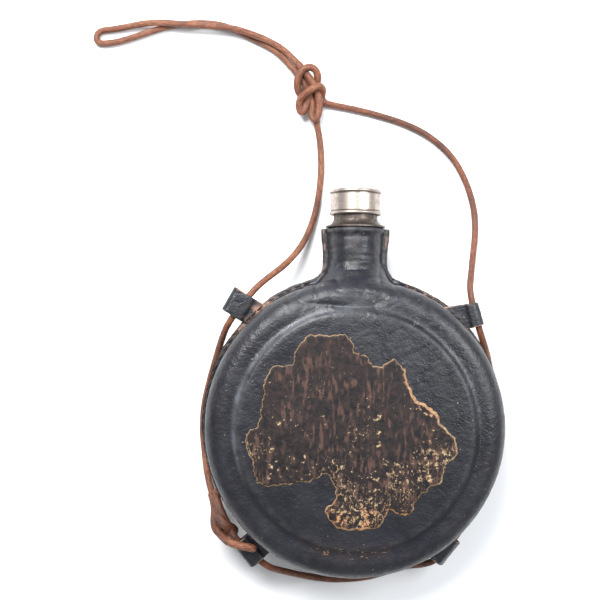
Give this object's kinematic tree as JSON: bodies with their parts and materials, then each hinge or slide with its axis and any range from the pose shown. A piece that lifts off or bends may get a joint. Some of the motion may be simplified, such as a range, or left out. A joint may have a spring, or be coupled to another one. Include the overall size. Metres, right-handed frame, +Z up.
{
  "type": "leather-covered flask",
  "caption": "Round flat leather-covered flask with a metal screw cap, strap loops at the rim and a knotted leather carrying lace.",
  "frame": {"origin": "centre of the flat back, on the surface the flask lies on", "axes": "+Z up out of the front face, +Y along the neck towards the cap, +X to the right of the front face"},
  "size_m": [0.2459, 0.3369, 0.0558],
  "materials": {
    "black_leather": "worn, semi-gloss moulded leather",
    "lace_leather": "round orange-brown lace with rubbed paler stretches",
    "label": "worn dark brown sheet with gold flecks",
    "thread": "waxed linen thread",
    "cap_metal": "tarnished satin",
    "collar_metal": "dull tarnished metal",
    "glass": "clear greenish bottle glass",
    "cork": "plain cork"
  },
  "bodies": {
    "bottle": {"glass_bottle": "glass", "neck_collar": "collar_metal", "cover_front": "black_leather", "cover_back": "black_leather", "loop_upper_left": "black_leather", "loop_upper_right": "black_leather", "loop_lower_left": "black_leather", "loop_lower_right": "black_leather", "seam_stitches_front": "thread", "seam_stitches_back": "thread", "loop_stitches": "thread", "front_label": "label", "lace_left": "lace_leather", "lace_right": "lace_leather", "lace_carry_loop": "lace_leather", "lace_tail_short": "lace_leather", "lace_tail_long": "lace_leather", "upper_knot": "lace_leather", "lower_knot": "lace_leather"},
    "seal": {"cork_seal": "cork"},
    "cap": {"screw_cap": "cap_metal"}
  },
  "joints": [
    {"name": "cap_lift", "type": "slide", "parent": "bottle", "child": "seal", "axis": [0, 1, 0], "range_m": [0, 0.024]},
    {"name": "cap_turn", "type": "hinge", "parent": "seal", "child": "cap", "pos_m": [0, 0.126, 0.026], "axis": [0, 1, 0], "range_deg": [0, 2160]}
  ],
  "couplings": [
    {"joint": "cap_lift", "follows": "cap_turn", "m_per_rad": 0.00063662}
  ]
}
